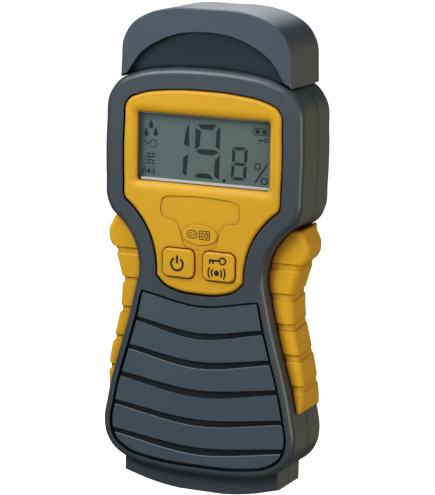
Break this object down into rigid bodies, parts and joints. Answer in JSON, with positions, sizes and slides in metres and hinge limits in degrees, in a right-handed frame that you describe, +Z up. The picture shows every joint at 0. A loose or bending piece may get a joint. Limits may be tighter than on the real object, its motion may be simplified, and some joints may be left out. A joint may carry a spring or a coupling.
{
  "type": "moisture meter",
  "caption": "Hand-held pin moisture meter: hourglass casing with display, two keys, stepped thumb pad, side grips, electrodes under a slip-on cap, and a battery door.",
  "frame": {"origin": "centre of the bounding box at the bottom of the foot, where the upright meter stands", "axes": "+Z up towards the cap, +X to the right seen from the front, +Y from the display towards the back"},
  "size_m": [0.074, 0.0274, 0.1647],
  "materials": {
    "slate_plastic": "fine satin texture",
    "yellow_plastic": "satin",
    "yellow_rubber": "matte",
    "clear_plastic": "clear",
    "display_glass": "grey-green liquid crystal display",
    "black_plastic": "matte",
    "foam": "matte foam",
    "board_green": "solder mask",
    "steel": "bright",
    "lead_red": "insulation",
    "battery_case": "plain jacket"
  },
  "bodies": {
    "housing": {"battery_block": "battery_case", "battery_lead_black": "black_plastic", "battery_lead_red": "lead_red", "battery_snap": "black_plastic", "board_screw_1": "steel", "board_screw_2": "steel", "board_screw_3": "steel", "buzzer": "black_plastic", "display_window": "clear_plastic", "electrode_carrier": "black_plastic", "electrode_lead_left": "lead_red", "electrode_lead_right": "lead_red", "electrode_left": "steel", "electrode_nut_left": "steel", "electrode_nut_right": "steel", "electrode_right": "steel", "front_bezel": "yellow_plastic", "front_shell": "slate_plastic", "grip_pad": "slate_plastic", "hold_switch": "steel", "housing_screw_1": "steel", "housing_screw_2": "steel", "housing_screw_3": "steel", "housing_screw_4": "steel", "lcd_frame": "black_plastic", "lcd_glass": "display_glass", "left_grip": "yellow_rubber", "main_board": "board_green", "microcontroller": "black_plastic", "power_switch": "steel", "rear_shell": "slate_plastic", "right_grip": "yellow_rubber", "zebra_strip": "foam"},
    "cap": {"protective_cap": "slate_plastic"},
    "power_key": {"power_button": "yellow_plastic"},
    "hold_key": {"hold_button": "yellow_plastic"},
    "door": {"battery_door": "slate_plastic", "battery_foam": "foam"}
  },
  "joints": [
    {"name": "cap_slide", "type": "slide", "parent": "housing", "child": "cap", "axis": [0, 0, 1], "range_m": [0, 0.03]},
    {"name": "power_press", "type": "slide", "parent": "housing", "child": "power_key", "axis": [0, 1, 0], "range_m": [0, 0.0008], "stiffness_N_per_m": 1200},
    {"name": "hold_press", "type": "slide", "parent": "housing", "child": "hold_key", "axis": [0, 1, 0], "range_m": [0, 0.0008], "stiffness_N_per_m": 1200},
    {"name": "battery_door_open", "type": "hinge", "parent": "housing", "child": "door", "pos_m": [0, 0.01375, 0.0124], "axis": [-1, 0, 0], "range_deg": [0, 75]}
  ]
}
